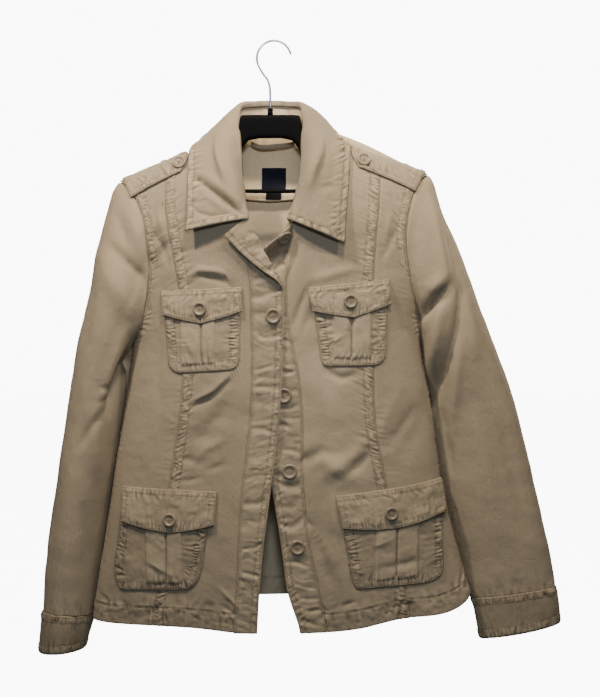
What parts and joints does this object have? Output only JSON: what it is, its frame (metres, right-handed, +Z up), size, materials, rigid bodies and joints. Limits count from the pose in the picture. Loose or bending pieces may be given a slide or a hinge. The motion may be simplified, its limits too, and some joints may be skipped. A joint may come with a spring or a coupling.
{
  "type": "safari jacket on a hanger",
  "caption": "Khaki cotton safari jacket with patch pockets, shoulder straps and a shirt collar, partly buttoned on a black hanger with a wire hook.",
  "frame": {"origin": "inside top of the hanger's hook, where the rail carries it", "axes": "+Z up, +X to the wearer's left, +Y to the back of the jacket"},
  "size_m": [0.7115, 0.1305, 0.8156],
  "materials": {
    "cloth": "washed cotton twill",
    "button": "satin, cast",
    "label": "woven, bare",
    "tag": "woven, bare",
    "hanger": "moulded, satin",
    "wire": "bright"
  },
  "bodies": {
    "root": {"back": "cloth", "back_facing": "cloth", "front_right_side": "cloth", "front_right_centre": "cloth", "front_left_side": "cloth", "front_left_centre": "cloth", "placket_right": "cloth", "placket_left": "cloth", "sleeve_right": "cloth", "sleeve_left": "cloth", "cuff_right": "cloth", "cuff_left": "cloth", "collar_stand": "cloth", "collar_fall": "cloth", "epaulette_right": "cloth", "epaulette_left": "cloth", "pocket_chest_right": "cloth", "flap_chest_right": "cloth", "pocket_chest_left": "cloth", "flap_chest_left": "cloth", "pocket_lower_right": "cloth", "flap_lower_right": "cloth", "pocket_lower_left": "cloth", "flap_lower_left": "cloth", "hanging_loop": "cloth", "button_front_0": "button", "button_front_1": "button", "button_front_2": "button", "button_front_3": "button", "button_front_4": "button", "button_chest_right": "button", "button_chest_left": "button", "button_lower_right": "button", "button_lower_left": "button", "button_shoulder_right": "button", "button_shoulder_left": "button", "label": "label", "size_tag": "tag", "hanger_body": "hanger", "hanger_boss": "hanger", "hanger_bar": "hanger", "hanger_hook": "wire"}
  },
  "joints": []
}
